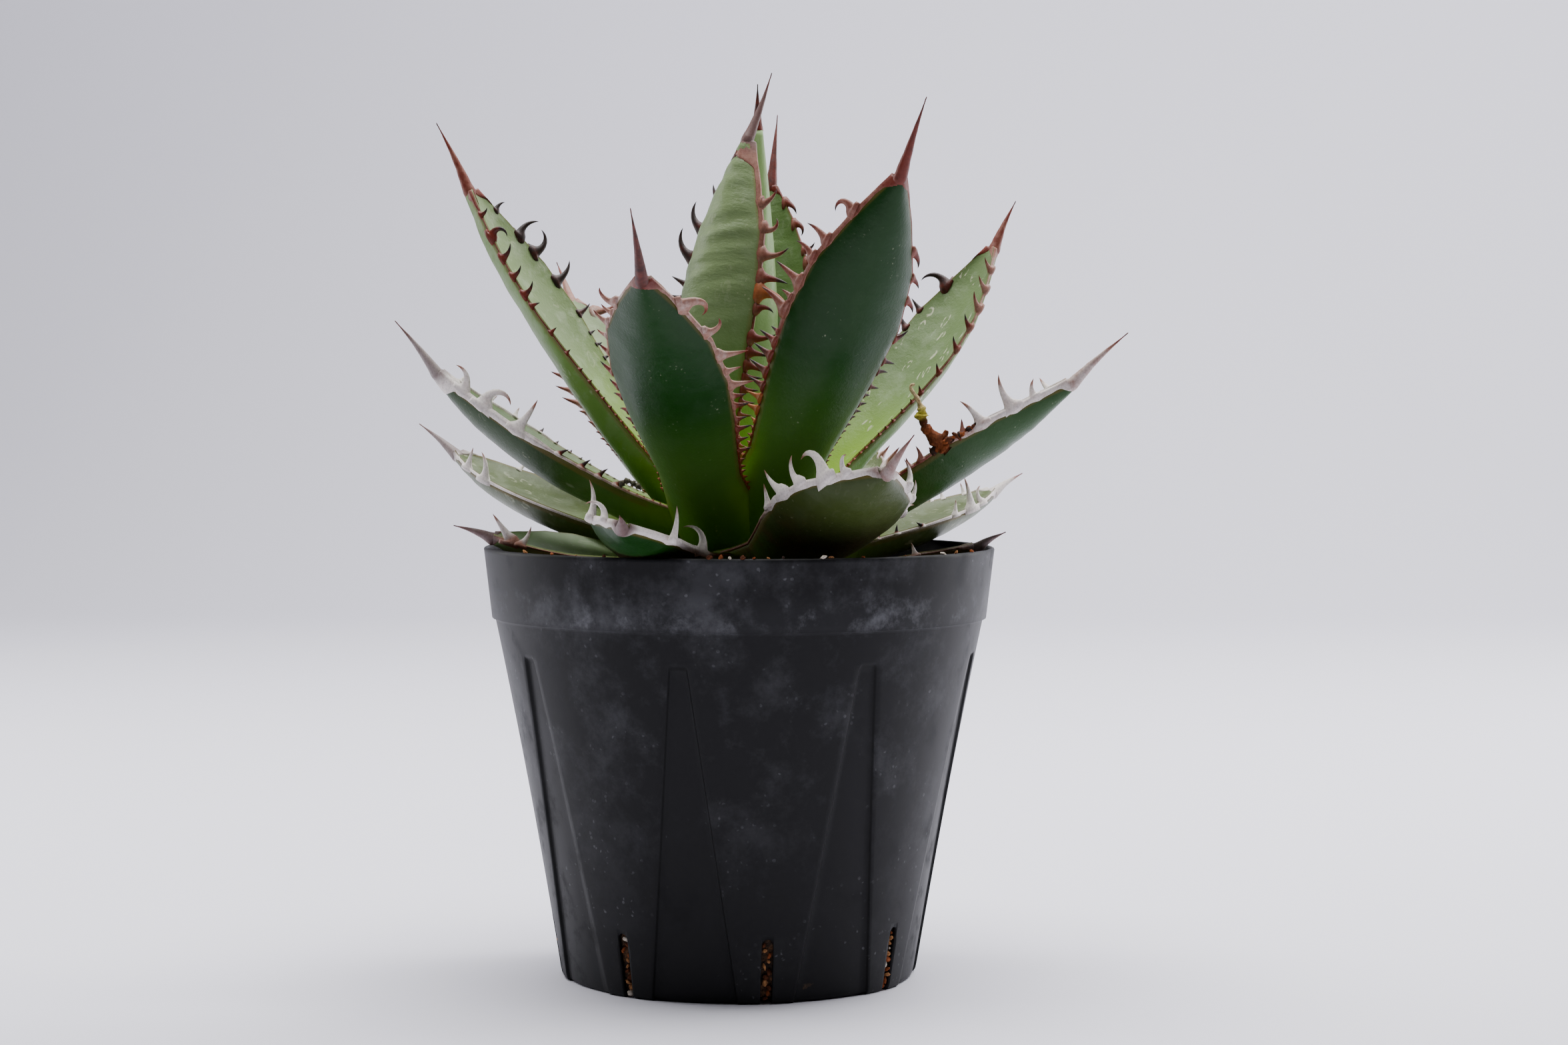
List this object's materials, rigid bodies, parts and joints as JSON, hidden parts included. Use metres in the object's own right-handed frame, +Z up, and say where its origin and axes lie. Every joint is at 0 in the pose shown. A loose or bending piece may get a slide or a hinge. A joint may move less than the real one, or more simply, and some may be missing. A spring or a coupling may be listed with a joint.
{
  "type": "potted agave",
  "caption": "Rosette of stiff cupped succulent leaves with hooked marginal teeth and long terminal spines, growing in a round black slotted nursery pot.",
  "frame": {"origin": "middle of the pot's flat underside, on the surface that it stands on", "axes": "+Z up along the pot's axis; -Y is the side that is usually looked at; +X to its right"},
  "size_m": [0.2131, 0.2291, 0.2653],
  "materials": {
    "pot_plastic": "matte",
    "potting_mix": "matte",
    "stem_skin": "matte",
    "young_leaf": "satin",
    "old_leaf": "satin",
    "young_horn": "satin",
    "old_horn": "satin"
  },
  "bodies": {
    "root": {"pot": "pot_plastic", "soil": "potting_mix", "stem": "stem_skin", "bud": "young_leaf", "bud_spine": "young_horn", "leaf_01_blade": "young_leaf", "leaf_01_horn": "young_horn", "leaf_02_blade": "young_leaf", "leaf_02_horn": "young_horn", "leaf_03_blade": "young_leaf", "leaf_03_horn": "young_horn", "leaf_04_blade": "young_leaf", "leaf_04_horn": "young_horn", "leaf_05_blade": "young_leaf", "leaf_05_horn": "young_horn", "leaf_06_blade": "young_leaf", "leaf_06_horn": "young_horn", "leaf_07_blade": "old_leaf", "leaf_07_horn": "old_horn", "leaf_08_blade": "old_leaf", "leaf_08_horn": "old_horn", "leaf_09_blade": "old_leaf", "leaf_09_horn": "old_horn", "leaf_10_blade": "old_leaf", "leaf_10_horn": "old_horn", "leaf_11_blade": "old_leaf", "leaf_11_horn": "old_horn", "leaf_12_blade": "old_leaf", "leaf_12_horn": "old_horn", "leaf_13_blade": "old_leaf", "leaf_13_horn": "old_horn", "leaf_14_blade": "old_leaf", "leaf_14_horn": "old_horn", "leaf_15_blade": "old_leaf", "leaf_15_horn": "old_horn", "leaf_16_blade": "old_leaf", "leaf_16_horn": "old_horn", "leaf_17_blade": "old_leaf", "leaf_17_horn": "old_horn", "leaf_18_blade": "old_leaf", "leaf_18_horn": "old_horn", "leaf_19_blade": "old_leaf", "leaf_19_horn": "old_horn", "leaf_20_blade": "old_leaf", "leaf_20_horn": "old_horn"}
  },
  "joints": []
}
